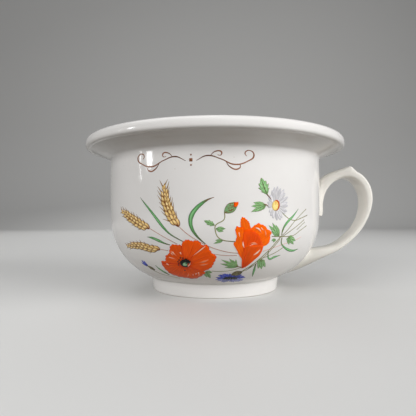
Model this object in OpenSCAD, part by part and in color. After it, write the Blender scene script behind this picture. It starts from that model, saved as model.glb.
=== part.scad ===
// Chamber pot: a round earthenware bowl with a broad everted rim, a turned foot ring
// and one moulded strap handle, all luted together with slip.
// Millimetres. The origin is on the bowl's axis, in the plane that the foot stands on.
// +Z is up, and the handle points along +X.

/* [Rim] */
// Diameter over the rim
rim_d = 240; // [232:1:250]
// Height of the pot
pot_h = 137.6; // [133:0.2:145]
// Thickness of the rolled bead at the rim's edge
bead_d = 9.2; // [8:0.2:11]
// How far the bead stands below the flange's underside
bead_proud = 0.3; // [0.1:0.1:0.6]
// Slope of the flange's underside, in degrees
flange_slope = 24; // [20:1:27]
// Slope of the flange's upper face, in degrees
seat_slope = 30; // [28:1:33]
// Radius of the hollow between the wall and the flange
flange_fillet = 3; // [1:0.5:5]
// Radius of the rounded throat inside the rim
throat_round = 8; // [5:0.5:10]

/* [Bowl] */
// Largest diameter over the wall
wall_d = 197; // [190:1:204]
// Height at which the wall is widest
wall_mid_h = 93; // [86:1:98]
// Radius of the wall's slight swell, seen from the side
swell_r = 700; // [500:50:1000]
// Radius of the belly's curve, seen from the side
belly_r = 58; // [54:1:62]
// Thickness of the wall and the floor
wall_t = 5.8; // [4.6:0.1:7]
// Height of the bowl's underside above the table
base_h = 8.6; // [7:0.1:10]

/* [Foot] */
// Diameter of the foot where it stands
foot_d = 118; // [108:1:124]
// Diameter of the foot where it meets the bowl
foot_top_d = 121; // [112:1:126]
// Width of the ring where it stands
foot_w = 7; // [5:0.5:9]
// Width of the ring where it meets the bowl
foot_root_w = 9; // [7:0.5:11]
// Rounding of the ring's lower edges
foot_edge = 0.7; // [0.5:0.1:2]

/* [Slip] */
// Thickness of the slip in the joints
slip_t = 0.8; // [0.5:0.1:1.2]
// How far the slip is squeezed out round the handle's ends
slip_spread = 0.8; // [0.4:0.1:1.5]

/* [Handle] */
// Reach of the loop beyond the wall, to the middle of the strap
loop_out = 49; // [42:1:56]
// Height of the loop's top
loop_top_h = 109; // [104:1:112]
// Height at which the lower arm turns in to the belly
loop_low_h = 32.5; // [30:0.5:36]
// Height of the lower tip of the tail on the wall
tail_h = 69; // [65:1:73]
// Gap between the handle's lower tip and the top of the foot, along the belly
tip_gap = 9; // [7:0.5:12]
// Thickness of the strap at the top of the loop
strap_t = 9; // [7:0.5:11]
// Width of the strap
strap_w = 24; // [20:1:28]
// Height of the thumb spur above the strap
spur_h = 3.3; // [1:0.1:4.5]
// Distance of the spur's crest from the wall
spur_out = 30.4; // [26:0.2:34]
// Length of the spur's slope on the side of the wall
spur_rise = 11; // [8:0.5:14]
// Length of the spur's slope on the outer side
spur_fall = 4.5; // [3:0.5:7]
// Radius of the soft hollow where the strap's flanks run into the bowl
flank_round = 6; // [3:0.5:8]
// Rounding of the strap's two ends
end_round = 1.4; // [0.6:0.1:2]

/* [Hidden] */
$fn = 96;
glaze = [0.93, 0.92, 0.88];
bare_clay = [0.90, 0.86, 0.78];

// Bead, flange and throat
bead_r = bead_d / 2;
bead = [rim_d / 2 - bead_r, pot_h - bead_r];
under_z = bead.y - bead.x * tan(flange_slope) - (bead_r - bead_proud) / cos(flange_slope);
seat_z = bead.y - bead.x * tan(seat_slope) + bead_r / cos(seat_slope);
bead_start = flange_slope - 90 - acos((bead_r - bead_proud) / bead_r);

// Wall and belly are two arcs that touch, each flattened a little at the base
wall_r = wall_d / 2;
swell = [wall_r - swell_r, wall_mid_h];
belly_flat = 0.3;
belly_z = base_h + belly_r - belly_flat;
belly = [swell.x + sqrt((swell_r - belly_r) ^ 2 - (wall_mid_h - belly_z) ^ 2), belly_z];
belly_end = atan2(belly.y - swell.y, belly.x - swell.x);
fillet = rolling_round(swell_r, under_z, flange_slope, flange_fillet);
fillet_turn = atan2(fillet.y - swell.y, fillet.x - swell.x);
throat = rolling_round(swell_r - wall_t, seat_z, seat_slope, throat_round);
throat_turn = atan2(throat.y - swell.y, throat.x - swell.x);

// Segments of each arc of the section
belly_steps = 24;
wall_steps = 6;
fillet_steps = 6;
bead_steps = 20;
edge_steps = 4;

// Points of an arc, without its last point, which the next stretch begins with
function arc(centre, r, from, to, steps) =
    [for (i = [0 : steps - 1]) let (a = from + (to - from) * i / steps) centre + r * [cos(a), sin(a)]];

// Centre of a round that touches an arc about the swell's centre and, from below, a sloping face
function rolling_round(arc_r, face_z, slope, r) =
    let (
        k = tan(slope),
        h = face_z - r / cos(slope) - swell.y,
        b = k * h - swell.x,
        c = swell.x ^ 2 + h ^ 2 - (arc_r + r) ^ 2,
        x = (sqrt(b ^ 2 - (1 + k ^ 2) * c) - b) / (1 + k ^ 2)
    )
    [x, face_z - r / cos(slope) + k * x];

// Angle at which an arc about the belly's centre reaches its flat
function flat_angle(r) = -asin(1 - belly_flat / r);

// The side of the bowl from its flat base to the flange, moved out by grow
function side(grow) = concat(
    arc(belly, belly_r + grow, flat_angle(belly_r + grow), belly_end, belly_steps),
    arc(swell, swell_r + grow, belly_end, fillet_turn, wall_steps));

// A full body of the bowl's outer shape below the flange, for what sits against it
module body_section(grow) {
    wall_top = swell + (swell_r + grow) * [cos(fillet_turn), sin(fillet_turn)];
    polygon(concat([[0, base_h - grow]], side(grow), [wall_top, [0, wall_top.y]]));
}

// The layer of slip on the outside of the bowl
module slip_section() {
    difference() {
        body_section(slip_t);
        body_section(0);
    }
}

// The ring's section, run up into the bowl, where its seat is cut
module ring_section() {
    out_lean = atan2(foot_top_d / 2 - foot_d / 2, foot_rise);
    in_lean = atan2(foot_root_w - foot_w - (foot_top_d - foot_d) / 2, foot_rise);
    out_edge = [foot_d / 2 - foot_edge, foot_edge];
    in_edge = [foot_d / 2 - foot_w + foot_edge, foot_edge];
    out_top = [foot_top_d / 2, foot_rise];
    in_top = [foot_top_d / 2 - foot_root_w, foot_rise];
    polygon(concat(
        arc(out_edge, foot_edge, -90, -out_lean, edge_steps),
        [out_edge + foot_edge * [cos(out_lean), -sin(out_lean)], out_top, in_top],
        arc(in_edge, foot_edge, 180 + in_lean, 270, edge_steps),
        [[in_edge.x, 0]]));
}
foot_rise = belly.y - sqrt(belly_r ^ 2 - (foot_top_d / 2 - belly.x) ^ 2);

// The strap's path. Each row is the centre's x and z, the shares of the strap's thickness
// and width there, and the power of its rounded section: 2 is an ellipse, more is squarer.
// Off is a share of the strap's thickness, up a share of a height, and back an angle
// from the lower tip, which keeps its gap from the foot.
function on_wall(off, up) = let (z = tail_h + up * (loop_top_h - tail_h))
    [swell.x + sqrt(swell_r ^ 2 - (z - swell.y) ^ 2) + off * strap_t, z];
function on_loop(out, up) = [wall_r + out * loop_out, loop_low_h + up * (loop_top_h - loop_low_h)];
function on_belly(off, back) = let (turn = tip_turn + back)
    belly + (belly_r + off * strap_t) * [cos(turn), sin(turn)];
foot_turn = -acos((foot_top_d / 2 - belly.x) / belly_r);
tip_turn = foot_turn + tip_gap / belly_r * 180 / PI;
strap = [
    concat(on_wall(0.2, 0), [0.95, 0.74, 2]),
    concat(on_wall(0.24, 0.07), [1.02, 0.82, 2]),
    concat(on_wall(0.11, 0.25), [1.1, 0.92, 2]),
    concat(on_wall(0.22, 0.55), [1.25, 1, 2.2]),
    concat(on_loop(0.17, 0.9), [1.2, 1, 2.5]),
    concat(on_loop(0.37, 0.97), [1, 1, 2.6]),
    concat(on_loop(0.58, 1), [1, 1, 2.6]),
    concat(on_loop(0.79, 0.95), [1, 1, 2.6]),
    concat(on_loop(0.94, 0.83), [1, 1, 2.6]),
    concat(on_loop(1, 0.67), [0.92, 1, 2.6]),
    concat(on_loop(0.95, 0.48), [0.64, 0.96, 2.6]),
    concat(on_loop(0.81, 0.3), [0.58, 0.92, 2.6]),
    concat(on_loop(0.59, 0.16), [0.66, 0.92, 2.6]),
    concat(on_loop(0.35, 0.05), [0.7, 0.94, 2.5]),
    concat(on_loop(0.08, 0), [1.14, 0.98, 2.4]),
    concat(on_belly(0.51, 23.4), [1.67, 1, 2.2]),
    concat(on_belly(0, 14.4), [1.77, 0.95, 2]),
    concat(on_belly(-0.18, 6), [1.6, 0.82, 2]),
    concat(on_belly(-0.05, 0), [1, 0.6, 2])];
strap_end = len(strap) - 1;
// Place on the strap where its outer side begins, past the spur
loop_side = 9;
strap_rows = concat([2 * strap[0] - strap[1]], strap, [2 * strap[strap_end] - strap[strap_end - 1]]);
strap_sides = 32;
end_steps = 3;

// Places along the strap that get a ring: closer together at the spur
spur_rings = [5.4, 7];
rings = [each [0 : 0.25 : 5.25], each [spur_rings[0] : 0.08 : spur_rings[1]], each [7.25 : 0.25 : strap_end]];
upper_end = 5;
lower_start = 13.5;
upper_rings = [for (u = rings) if (u <= upper_end) u];
lower_rings = [for (u = rings) if (u >= lower_start) u];

// Cubic B-spline through the rows: a place on it, and its heading there
function spline(u, w) = let (i = min(floor(u), strap_end - 1)) w * [for (k = [0 : 3]) strap_rows[i + k]];
function along(u) = u - min(floor(u), strap_end - 1);
function place(u) = let (t = along(u))
    spline(u, [(1 - t) ^ 3, 3 * t ^ 3 - 6 * t ^ 2 + 4, -3 * t ^ 3 + 3 * t ^ 2 + 3 * t + 1, t ^ 3] / 6);
function heading(u) = let (t = along(u),
    d = spline(u, [-(1 - t) ^ 2, 3 * t ^ 2 - 4 * t, -3 * t ^ 2 + 2 * t + 1, t ^ 2] / 2))
    [d.x, d.y] / norm([d.x, d.y]);

// Height of the thumb spur over the strap, a long hollow slope up and a short straighter one down
rise_power = 1.8;
fall_power = 1.1;
function spur(u, x) = let (d = x - wall_r - spur_out)
    u > loop_side ? 0
    : d < 0 ? spur_h * max(0, 1 + d / spur_rise) ^ rise_power
    : spur_h * max(0, 1 - d / spur_fall) ^ fall_power;

// Distance of a point from the bowl's outside, by the arc that it lies beside
function clear(p) = let (
        q = [norm([p.x, p.y]), p.z],
        beside = q.y < belly.y + (q.x - belly.x) * tan(belly_end)
    )
    beside ? norm(q - belly) - belly_r : norm(q - swell) - swell_r;

// How far a flank is drawn out at a point close to the bowl, as by a round that rolls along both
function flare(p) = let (gap = min(max(clear(p), slip_t), flank_round))
    flank_round - sqrt(flank_round ^ 2 - (flank_round - gap) ^ 2);

// One ring of the strap, in a plane across its heading, grown and shifted along it
function signed_power(v, e) = sign(v) * abs(v) ^ e;
function ring(u, grow, shift = 0) = let (
        p = place(u),
        h = heading(u),
        centre = [p.x, p.y] + shift * h,
        half_t = p[2] * strap_t / 2 + grow,
        half_w = p[3] * strap_w / 2 + grow,
        e = 2 / p[4],
        rise = spur(u, p.x)
    )
    [for (j = [0 : strap_sides - 1]) let (
        c = cos(360 * j / strap_sides),
        s = sin(360 * j / strap_sides),
        off = (c < 0 ? half_t + rise : half_t) * signed_power(c, e),
        plain = [centre.x + h.y * off, half_w * signed_power(s, e), centre.y - h.x * off]
    ) plain + [0, sign(s) * s ^ 2 * flare(plain), 0]];

// The rings that round off an end of the strap: side is -1 at its start and 1 at its end
function end_ring(u, side, grow, i) = let (a = 90 * i / end_steps)
    ring(u, grow - end_round * (1 - cos(a)), side * (end_round + grow) * sin(a));

// The strap as a loft through its rings. A free end is rounded off, and a cut one is flat.
module strap_loft(places, grow) {
    n = strap_sides;
    from = places[0];
    to = places[len(places) - 1];
    sections = concat(
        from == 0 ? [for (i = [end_steps : -1 : 1]) end_ring(from, -1, grow, i)] : [],
        [for (u = places) ring(u, grow)],
        to == strap_end ? [for (i = [1 : end_steps]) end_ring(to, 1, grow, i)] : []);
    last = (len(sections) - 1) * n;
    points = [for (section = sections) each section];
    walls = [for (i = [0 : n : last - n], j = [0 : n - 1])
        each let (k = (j + 1) % n) [[i + j, i + k, i + n + k], [i + j, i + n + k, i + n + j]]];
    caps = [[for (j = [n - 1 : -1 : 0]) j], [for (j = [0 : n - 1]) last + j]];
    polyhedron(points, concat(walls, caps), convexity = 6);
}

// The slip under one end of the strap
module end_slip(places) {
    intersection() {
        strap_loft(places, slip_spread);
        rotate_extrude() slip_section();
    }
}

module bowl() {
    color(glaze) rotate_extrude() polygon(concat(
        [[0, base_h]],
        side(0),
        arc(fillet, flange_fillet, 180 + fillet_turn, 90 + flange_slope, fillet_steps),
        [fillet + flange_fillet * [-sin(flange_slope), cos(flange_slope)]],
        arc(bead, bead_r, bead_start, 90 + seat_slope, bead_steps),
        [bead + bead_r * [-sin(seat_slope), cos(seat_slope)]],
        arc(throat, throat_round, 90 + seat_slope, 180 + throat_turn, fillet_steps),
        arc(swell, swell_r - wall_t, throat_turn, belly_end, wall_steps),
        arc(belly, belly_r - wall_t, belly_end, flat_angle(belly_r - wall_t), belly_steps),
        [belly + (belly_r - wall_t) * [cos(flat_angle(belly_r - wall_t)), sin(flat_angle(belly_r - wall_t))],
         [0, base_h + wall_t]]));
}

module foot_ring() {
    color(bare_clay) rotate_extrude() difference() {
        ring_section();
        body_section(slip_t);
    }
}

module foot_slip() {
    color(bare_clay) rotate_extrude() intersection() {
        ring_section();
        slip_section();
    }
}

module handle() {
    color(glaze) difference() {
        strap_loft(rings, 0);
        rotate_extrude() body_section(slip_t);
    }
}

module upper_handle_slip() {
    color(glaze) end_slip(upper_rings);
}

module lower_handle_slip() {
    color(glaze) end_slip(lower_rings);
}

bowl();
foot_ring();
handle();
foot_slip();
upper_handle_slip();
lower_handle_slip();
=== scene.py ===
import math

import bmesh
import bpy
import numpy as np
from mathutils import Matrix, Vector


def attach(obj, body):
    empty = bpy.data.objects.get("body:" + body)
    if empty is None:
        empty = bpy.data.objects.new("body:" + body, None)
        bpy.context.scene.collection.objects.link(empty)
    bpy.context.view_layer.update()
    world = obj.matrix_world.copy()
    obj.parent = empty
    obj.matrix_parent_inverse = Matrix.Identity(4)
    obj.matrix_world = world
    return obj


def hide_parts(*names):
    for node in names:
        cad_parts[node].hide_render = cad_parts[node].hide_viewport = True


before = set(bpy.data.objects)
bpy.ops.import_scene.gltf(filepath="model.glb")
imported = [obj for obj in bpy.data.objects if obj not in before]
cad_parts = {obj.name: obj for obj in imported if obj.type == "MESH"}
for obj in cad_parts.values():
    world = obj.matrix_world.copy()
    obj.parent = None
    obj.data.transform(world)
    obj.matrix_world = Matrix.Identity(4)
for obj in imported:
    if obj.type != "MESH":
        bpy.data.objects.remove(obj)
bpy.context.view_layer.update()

# The bowl: white earthenware, jiggered in one piece with its broad everted rim and rolled
# lip, and glazed inside and out. Its section is a few arcs, turned round the upright axis.
MM = 0.001
rim_radius = 120.0
pot_height = 137.6
bead_radius = 4.6
bead_proud = 0.3
bead_edge = 2.4
flange_slope = math.radians(24)
seat_slope = math.radians(30)
flange_fillet = 3.0
throat_round = 8.0
wall_radius = 98.5
wall_middle = 93.0
wall_thickness = 5.8
swell_radius = 700.0
belly_radius = 58.0
base_height = 8.6
belly_flat = 0.3
row_gap = 1.4
weld_gap = 0.001
turn_segments = 192

bead = np.array([rim_radius - bead_radius, pot_height - bead_radius])
swell = np.array([wall_radius - swell_radius, wall_middle])
belly_height = base_height + belly_radius - belly_flat
belly_reach = math.sqrt((swell_radius - belly_radius) ** 2 - (swell[1] - belly_height) ** 2)
belly = np.array([swell[0] + belly_reach, belly_height])
belly_end = math.atan2(belly[1] - swell[1], belly[0] - swell[0])


def polar(angle):
    return np.array([math.cos(angle), math.sin(angle)])


def arc(centre, radius, start, end):
    steps = max(4, math.ceil(abs(end - start) * radius / row_gap))
    return [centre + radius * polar(start + (end - start) * i / steps) for i in range(steps + 1)]


def straight(first, last):
    steps = max(2, math.ceil(np.linalg.norm(np.subtract(last, first)) / row_gap))
    return [np.array(first) + (np.array(last) - first) * i / steps for i in range(1, steps)]


def rolling_round(arc_radius, face_height, slope, radius):
    """Centre of a round that touches an arc about the swell's centre and, from below, a sloping face."""
    rise = math.tan(slope)
    level = face_height - radius / math.cos(slope)
    drop = level - swell[1]
    b = rise * drop - swell[0]
    c = swell[0] ** 2 + drop ** 2 - (arc_radius + radius) ** 2
    x = (math.sqrt(b ** 2 - (1 + rise ** 2) * c) - b) / (1 + rise ** 2)
    return np.array([x, level + rise * x])


def flat_angle(radius):
    return -math.asin(1 - belly_flat / radius)


def from_swell(point):
    return math.atan2(point[1] - swell[1], point[0] - swell[0])


def bowl_section():
    under = bead[1] - bead[0] * math.tan(flange_slope) - (bead_radius - bead_proud) / math.cos(flange_slope)
    seat = bead[1] - bead[0] * math.tan(seat_slope) + bead_radius / math.cos(seat_slope)
    bead_start = flange_slope - math.pi / 2 - math.acos((bead_radius - bead_proud) / bead_radius)
    fillet = rolling_round(swell_radius, under, flange_slope, flange_fillet)
    throat = rolling_round(swell_radius - wall_thickness, seat, seat_slope, throat_round)
    inner_swell = swell_radius - wall_thickness
    inner_belly = belly_radius - wall_thickness
    outer = arc(belly, belly_radius, flat_angle(belly_radius), belly_end)
    outer += arc(swell, swell_radius, belly_end, from_swell(fillet))[1:-1]
    outer += arc(fillet, flange_fillet, math.pi + from_swell(fillet), math.pi / 2 + flange_slope)
    under_lip = bead + bead_radius * polar(bead_start)
    trimmed = bead + (bead_radius - bead_edge) * np.array([1, -1])
    edge = arc(trimmed, bead_edge, -math.pi / 2, 0.0)
    roll = arc(bead, bead_radius, 0.0, math.pi / 2 + seat_slope)
    lip = [under_lip, *straight(under_lip, edge[0]), *edge, *straight(edge[-1], roll[0]), *roll]
    inner = arc(throat, throat_round, math.pi / 2 + seat_slope, math.pi + from_swell(throat))
    inner += arc(swell, inner_swell, from_swell(throat), belly_end)[1:-1]
    inner += arc(belly, inner_belly, belly_end, flat_angle(inner_belly))
    under_pole = np.array([0.0, base_height])
    floor_pole = np.array([0.0, base_height + wall_thickness])
    return [
        under_pole, *straight(under_pole, outer[0]), *outer, *straight(outer[-1], lip[0]), *lip,
        *straight(lip[-1], inner[0]), *inner, *straight(inner[-1], floor_pole), floor_pole]


def feed(tree, node, inputs):
    """Links or sets a node's inputs, by name or number."""
    for key, value in dict(inputs).items():
        if isinstance(value, bpy.types.NodeSocket):
            tree.links.new(value, node.inputs[key])
        else:
            node.inputs[key].default_value = value


def put(tree, kind, inputs=(), **settings):
    """Adds a node, sets its options and feeds its inputs."""
    made = tree.nodes.new(kind)
    for name, value in settings.items():
        setattr(made, name, value)
    feed(tree, made, inputs)
    return made


def maths(tree):
    """A short call for the tree's Math nodes."""
    def run(operation, *values):
        return put(tree, "ShaderNodeMath", enumerate(values), operation=operation).outputs[0]
    return run


def join_xyz(tree, x=0.0, y=0.0, z=0.0):
    return put(tree, "ShaderNodeCombineXYZ", {"X": x, "Y": y, "Z": z}).outputs[0]


def split_xyz(tree, vector):
    return put(tree, "ShaderNodeSeparateXYZ", {"Vector": vector}).outputs


def node_group(name, kind, inputs, outputs):
    """A node group with its named sockets, and what its input node gives."""
    tree = bpy.data.node_groups.new(name, kind)
    for label, socket, *value in inputs:
        made = tree.interface.new_socket(label, in_out="INPUT", socket_type="NodeSocket" + socket)
        if value:
            made.default_value = value[0]
    for label, socket in outputs:
        tree.interface.new_socket(label, in_out="OUTPUT", socket_type="NodeSocket" + socket)
    return tree, tree.nodes.new("NodeGroupInput").outputs


def shape_tree(name, sizes=()):
    """A Geometry Nodes tree with a geometry in and out, a finish, and the named sizes."""
    inputs = [("Geometry", "Geometry"), *sizes, ("Finish", "Material")]
    return node_group(name, "GeometryNodeTree", inputs, [("Geometry", "Geometry")])


def set_place(tree, geometry, **place):
    return put(tree, "GeometryNodeSetPosition", {"Geometry": geometry, **place}).outputs[0]


def close_tree(tree, geometry, finish):
    """Ends a tree: its instances made real, in their finish."""
    real = put(tree, "GeometryNodeRealizeInstances", {"Geometry": geometry})
    dressed = put(tree, "GeometryNodeSetMaterial", {"Geometry": real.outputs[0], "Material": finish})
    put(tree, "NodeGroupOutput", {"Geometry": dressed.outputs[0]})


def show(thing):
    bpy.context.scene.collection.objects.link(thing)


def shaped(name, carrier, tree, values):
    """Runs a tree on a carrier and leaves the result as a plain mesh object at the origin."""
    show(carrier)
    modifier = carrier.modifiers.new(tree.name, "NODES")
    modifier.node_group = tree
    for item in tree.interface.items_tree:
        if item.in_out == "INPUT" and item.name in values:
            modifier[item.identifier] = values[item.name]
    evaluated = carrier.evaluated_get(bpy.context.evaluated_depsgraph_get())
    mesh = bpy.data.meshes.new_from_object(evaluated)
    mesh.name = name
    bpy.data.objects.remove(carrier)
    piece = bpy.data.objects.new(name, mesh)
    show(piece)
    return piece


def turned_tree():
    """Carries a section's points round the upright axis, as the rows of one closed sheet."""
    tree, given = shape_tree("Turned on the wheel", [("Segments", "Int", turn_segments)])
    calc = maths(tree)
    section, segments = given["Geometry"], given["Segments"]
    rows = put(tree, "GeometryNodeAttributeDomainSize", {"Geometry": section}).outputs["Point Count"]
    columns = calc("ADD", segments, 1)
    grid = put(tree, "GeometryNodeMeshGrid", {"Vertices X": rows, "Vertices Y": columns})
    index = put(tree, "GeometryNodeInputIndex").outputs[0]
    row = calc("FLOOR", calc("DIVIDE", index, columns))
    column = calc("SUBTRACT", index, calc("MULTIPLY", row, columns))
    place = put(tree, "GeometryNodeInputPosition").outputs[0]
    sample = put(tree, "GeometryNodeSampleIndex", {"Geometry": section, "Index": row},
                 data_type="FLOAT_VECTOR")
    tree.links.new(place, next(s for s in sample.inputs if s.enabled and s.name == "Value"))
    point = next(s for s in sample.outputs if s.enabled)
    turn = calc("MULTIPLY", calc("DIVIDE", column, segments), 2 * math.pi)
    turned_point = put(tree, "ShaderNodeVectorRotate", {"Vector": point, "Angle": turn},
                       rotation_type="Z_AXIS").outputs[0]
    moved = set_place(tree, grid.outputs["Mesh"], Position=turned_point)
    merged = put(tree, "GeometryNodeMergeByDistance", {"Geometry": moved, "Distance": weld_gap * MM})
    smooth = put(tree, "GeometryNodeSetShadeSmooth", {"Geometry": merged.outputs[0]})
    close_tree(tree, smooth.outputs[0], given["Finish"])
    return tree


wheel = turned_tree()


def face_out(mesh):
    work = bmesh.new()
    work.from_mesh(mesh)
    bmesh.ops.recalc_face_normals(work, faces=work.faces)
    work.to_mesh(mesh)
    work.free()


def turned(name, section, finish):
    """A piece turned from its section, given in millimetres as distance from the axis and height."""
    mesh = bpy.data.meshes.new(name)
    mesh.from_pydata([(r * MM, 0.0, z * MM) for r, z in section], [], [])
    piece = shaped(name, bpy.data.objects.new(name, mesh), wheel, {"Finish": finish})
    face_out(piece.data)
    return piece


def noise(tree, vector, scale, detail):
    made = put(tree, "ShaderNodeTexNoise", {"Vector": vector, "Scale": scale, "Detail": detail})
    return made.outputs["Fac"]


def blend(tree, share, first, second):
    """Mixes two colours."""
    made = put(tree, "ShaderNodeMix", {"Factor": share, "A": first, "B": second}, data_type="RGBA")
    return made.outputs["Result"]


# The glaze thick and thin, its iron specks, and the height, reach and strength of the two bands of
# painted shade under the rim and above the foot, a darker tint where glaze also gathers in the corners
glaze_tones = (0.81, 0.795, 0.778, 1), (0.765, 0.748, 0.726, 1)
speck_tone = (0.38, 0.30, 0.2, 1)
speck_size = 0.055
speck_share = 0.12
pool_and_shade_tone = (0.52, 0.50, 0.44, 1)
glaze_pools_and_shade = [(125.5, 5.5, 0.4), (12.1, 1.5, 0.2)]


def glaze_group():
    """Cloudy tone, fine specks and the slight ripple of a poured glaze, in the object's own frame."""
    tree, given = node_group("Poured glaze", "ShaderNodeTree", [
        ("Tone", "Color", (0.8, 0.8, 0.8, 1)), ("Thin tone", "Color", (0.7, 0.7, 0.6, 1)),
        ("Cloud", "Float", 0.5), ("Speck", "Float", 0.5), ("Gloss", "Float", 0.1)],
        [("Color", "Color"), ("Roughness", "Float"), ("Height", "Float")])
    calc = maths(tree)
    where = put(tree, "ShaderNodeTexCoord").outputs["Object"]
    spread = put(tree, "ShaderNodeMapRange", {
        "Value": noise(tree, where, scale=26.0, detail=4.0), "From Min": 0.35, "From Max": 0.7,
        "To Max": given["Cloud"]}).outputs[0]
    toned = blend(tree, spread, given["Tone"], given["Thin tone"])
    dots = put(tree, "ShaderNodeTexVoronoi", {"Vector": where, "Scale": 160.0}).outputs
    small = calc("LESS_THAN", dots["Distance"], speck_size)
    draw = put(tree, "ShaderNodeSeparateColor", {"Color": dots["Color"]}).outputs[0]
    rare = calc("MULTIPLY", small, calc("LESS_THAN", draw, speck_share))
    flecked = blend(tree, calc("MULTIPLY", rare, given["Speck"]), toned, speck_tone)
    ripple = noise(tree, where, scale=70.0, detail=2.0)
    fine = noise(tree, where, scale=620.0, detail=2.0)
    rough = calc("MULTIPLY_ADD", fine, 0.06, given["Gloss"])
    height = calc("MULTIPLY_ADD", fine, 0.03, ripple)
    put(tree, "NodeGroupOutput", {"Color": flecked, "Roughness": rough, "Height": height})
    return tree


poured_glaze = glaze_group()


def new_material(name):
    material = bpy.data.materials.new(name)
    material.use_nodes = True
    return material, material.node_tree, material.node_tree.nodes["Principled BSDF"]


def glaze_material(name, tone, thin_tone):
    """A glossy tin-white glaze, with painted shade under the rim and above the foot, where glaze also
    gathers.
    """
    material, tree, shader = new_material(name)
    calc = maths(tree)
    coat = put(tree, "ShaderNodeGroup", {
        "Tone": tone, "Thin tone": thin_tone, "Cloud": 0.55, "Speck": 0.5, "Gloss": 0.07},
        node_tree=poured_glaze).outputs
    height = split_xyz(tree, put(tree, "ShaderNodeTexCoord").outputs["Object"])["Z"]
    # Painted shade: the colour darkens in bands by height, under the rim and above the foot
    pooled_shade = 0.0
    for level, reach, strength in glaze_pools_and_shade:
        near = calc("DIVIDE", calc("ABSOLUTE", calc("SUBTRACT", height, level * MM)), reach * MM)
        pooled_shade = calc("MULTIPLY_ADD", calc("MAXIMUM", calc("SUBTRACT", 1.0, near), 0.0), strength, pooled_shade)
    bump = put(tree, "ShaderNodeBump", {"Height": coat["Height"], "Strength": 0.05, "Distance": 0.004})
    feed(tree, shader, {
        "Base Color": blend(tree, pooled_shade, coat["Color"], pool_and_shade_tone), "Roughness": coat["Roughness"],
        "Normal": bump.outputs["Normal"], "IOR": 1.5})
    return material


white_glaze = glaze_material("white_glaze", *glaze_tones)
bowl = turned("glazed_bowl", bowl_section(), white_glaze)
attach(bowl, "root")
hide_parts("bowl")

# The foot ring: a turned ring of the same clay, luted under the bowl with slip. It is glazed
# like the bowl, but its standing edge is wiped bare before the firing.
foot_radius = 59.0
foot_top_radius = 60.5
foot_width = 7.0
foot_root_width = 9.0
foot_edge = 0.7
foot_fillet = 0.9
bare_height = 0.1
bare_wander = 0.5
clay_tones = (0.70, 0.65, 0.56, 1), (0.56, 0.50, 0.42, 1)
clay_roughness = 0.85
foot_rise = belly[1] - math.sqrt(belly_radius ** 2 - (foot_top_radius - belly[0]) ** 2)


def foot_section():
    out_lean = math.atan2(foot_top_radius - foot_radius, foot_rise)
    in_lean = math.atan2(foot_root_width - foot_width - foot_top_radius + foot_radius, foot_rise)
    out_edge = np.array([foot_radius - foot_edge, foot_edge])
    in_edge = np.array([foot_radius - foot_width + foot_edge, foot_edge])
    outside = arc(out_edge, foot_edge, -math.pi / 2, -out_lean)
    inside = arc(in_edge, foot_edge, math.pi + in_lean, 1.5 * math.pi)
    top = np.array([foot_top_radius, foot_rise])
    root = np.array([foot_top_radius - foot_root_width, foot_rise])
    return [*outside, *straight(outside[-1], top), top, *straight(top, root), root,
            *straight(root, inside[0]), *inside, *straight(inside[-1], outside[0]), outside[0]]


def foot_slip_section():
    """The hollow bead of slip in the corner between the ring's outside and the bowl."""
    lean = math.atan2(foot_top_radius - foot_radius, foot_rise)
    up = np.array([math.sin(lean), math.cos(lean)])
    out = np.array([math.cos(lean), -math.sin(lean)])
    start = np.array([foot_radius, 0.0]) + foot_fillet * out - belly
    along = -start @ up
    run = along - math.sqrt(along ** 2 - start @ start + (belly_radius + foot_fillet) ** 2)
    centre = belly + start + run * up
    to_belly = belly - centre
    first = math.atan2(-out[1], -out[0])
    last = math.atan2(to_belly[1], to_belly[0])
    hollow = arc(centre, foot_fillet, first, last)
    corner = np.array([foot_top_radius - foot_fillet, foot_rise])
    return [*hollow, corner, hollow[0]]


def cover(material, mask, color):
    """Lays a colour over a material where the mask says."""
    tree = material.node_tree
    base = tree.nodes["Principled BSDF"].inputs["Base Color"]
    tree.links.new(blend(tree, mask, base.links[0].from_socket, color), base)


def foot_material():
    """The glaze, ending in an uneven line above a bare, slightly grubby clay edge."""
    material = glaze_material("foot_glaze", *glaze_tones)
    tree = material.node_tree
    calc = maths(tree)
    where = put(tree, "ShaderNodeTexCoord").outputs["Object"]
    wander = noise(tree, where, scale=180.0, detail=3.0)
    line = calc("MULTIPLY_ADD", wander, bare_wander * MM, bare_height * MM)
    bare = calc("LESS_THAN", split_xyz(tree, where)["Z"], line)
    cover(material, bare, blend(tree, noise(tree, where, scale=900.0, detail=4.0), *clay_tones))
    gloss = tree.nodes["Principled BSDF"].inputs["Roughness"]
    rough = put(tree, "ShaderNodeMix", {
        "Factor": bare, "A": gloss.links[0].from_socket, "B": clay_roughness}, data_type="FLOAT")
    tree.links.new(rough.outputs["Result"], gloss)
    return material


foot_glaze = foot_material()
foot_ring = turned("glazed_foot_ring", foot_section(), foot_glaze)
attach(foot_ring, "root")
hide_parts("foot_ring")
foot_slip = turned("foot_slip_bead", foot_slip_section(), white_glaze)
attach(foot_slip, "root")
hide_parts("foot_slip")

# The handle: a strap of clay pressed in a mould, with a thumb spur on top, stuck to the wall by a
# tail above and smoothed into the belly below. The slip of both joints is sponged into its ends.
loop_out = 49.0
loop_top = 109.0
loop_low = 32.5
tail_height = 69.0
tip_gap = 9.0
strap_thickness = 9.0
strap_width = 24.0
spur_height = 3.3
spur_out = 30.4
spur_rise = 11.0
spur_fall = 4.5
rise_power = 1.8
fall_power = 1.1
flank_round = 6.0
end_round = 1.4
strap_sides = 80
ring_step = 0.05
end_steps = 6
# Painted light: the handle's glaze is a lighter, warmer copy of the bowl's, standing in for the light it
# catches from the bowl
handle_lit_tones = (0.865, 0.84, 0.78, 1), (0.825, 0.798, 0.735, 1)


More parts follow.
